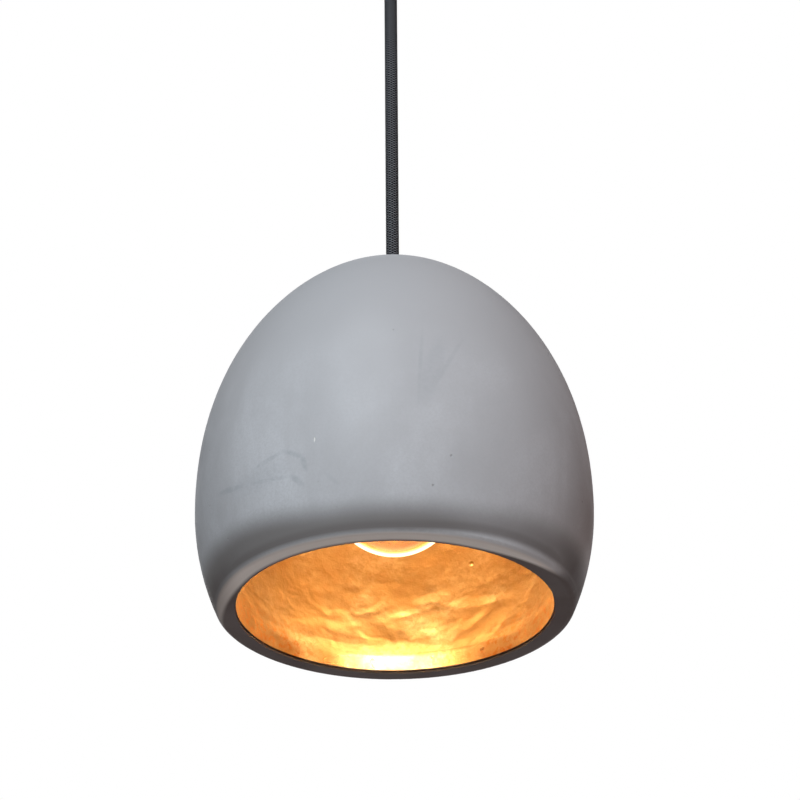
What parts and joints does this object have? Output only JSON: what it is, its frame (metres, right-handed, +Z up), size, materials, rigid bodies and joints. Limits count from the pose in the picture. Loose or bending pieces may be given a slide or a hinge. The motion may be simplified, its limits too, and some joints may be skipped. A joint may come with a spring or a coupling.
{
  "type": "pendant ceiling light",
  "caption": "Concrete dome pendant light, gilded inside, on a black textile cord from a round ceiling canopy, with a screw-in clear bulb.",
  "frame": {"origin": "on the ceiling plane, midway between the bracket's two screw slots", "axes": "+Z up into the ceiling, +X along the bracket, the light hanging along -Z"},
  "size_m": [0.181, 0.181, 0.3855],
  "materials": {
    "concrete": "matte",
    "gold_leaf": "satin",
    "textile_cord": "matte",
    "black_steel": "matte",
    "black_nylon": "matte",
    "zinc_steel": "satin",
    "block_nylon": "satin",
    "brass": "satin",
    "live_sleeve": "satin",
    "neutral_sleeve": "satin",
    "earth_sleeve": "satin",
    "phenolic": "satin",
    "porcelain": "gloss",
    "clear_glass": "gloss",
    "bulb_brass": "satin",
    "black_glass": "gloss",
    "nickel_wire": "satin",
    "glowing_wire": "satin"
  },
  "bodies": {
    "canopy": {"ceiling_bracket": "zinc_steel", "canopy": "black_steel", "canopy_screws": "black_steel", "cord_grip": "black_nylon", "grip_screw": "black_nylon", "grip_nut": "zinc_steel", "terminal_block": "block_nylon", "terminal_tubes": "brass", "terminal_screws": "zinc_steel", "block_screw": "zinc_steel", "earth_screw": "brass", "earth_lead": "earth_sleeve", "live_lead": "live_sleeve", "neutral_lead": "neutral_sleeve", "cord_top": "textile_cord"},
    "cord_bend": {"cord_bend": "textile_cord"},
    "cord": {"cord_drop": "textile_cord"},
    "shade": {"cord_tail": "textile_cord", "shade": "concrete", "gold_lining": "gold_leaf", "threaded_tube": "zinc_steel", "seat_washer": "zinc_steel", "lock_nut": "zinc_steel", "holder_cap": "phenolic", "neck_screw": "zinc_steel", "cord_stop": "black_nylon", "stop_screw": "zinc_steel", "contact_block": "porcelain", "centre_contact": "brass", "holder_posts": "brass", "post_screws": "zinc_steel", "live_core": "live_sleeve", "neutral_core": "neutral_sleeve", "screw_shell": "brass", "holder_skirt": "phenolic"},
    "bulb": {"bulb_glass": "clear_glass", "bulb_cap": "bulb_brass", "bulb_insulator": "black_glass", "bulb_tip": "bulb_brass", "glass_stem": "clear_glass", "filament": "glowing_wire", "filament_leads": "nickel_wire", "filament_hooks": "nickel_wire"}
  },
  "joints": [
    {"name": "swing_x", "type": "hinge", "parent": "canopy", "child": "cord_bend", "pos_m": [0, 0, -0.04], "axis": [1, 0, 0], "range_deg": [-25, 25]},
    {"name": "swing_y", "type": "hinge", "parent": "cord_bend", "child": "cord", "pos_m": [0, 0, -0.04], "axis": [0, 1, 0], "range_deg": [-25, 25]},
    {"name": "twist", "type": "hinge", "parent": "cord", "child": "shade", "pos_m": [0, 0, -0.214], "axis": [0, 0, 1], "range_deg": [-180, 180]},
    {"name": "bulb_out", "type": "slide", "parent": "shade", "child": "bulb", "axis": [0, 0, -1], "range_m": [0, 0.03]}
  ]
}
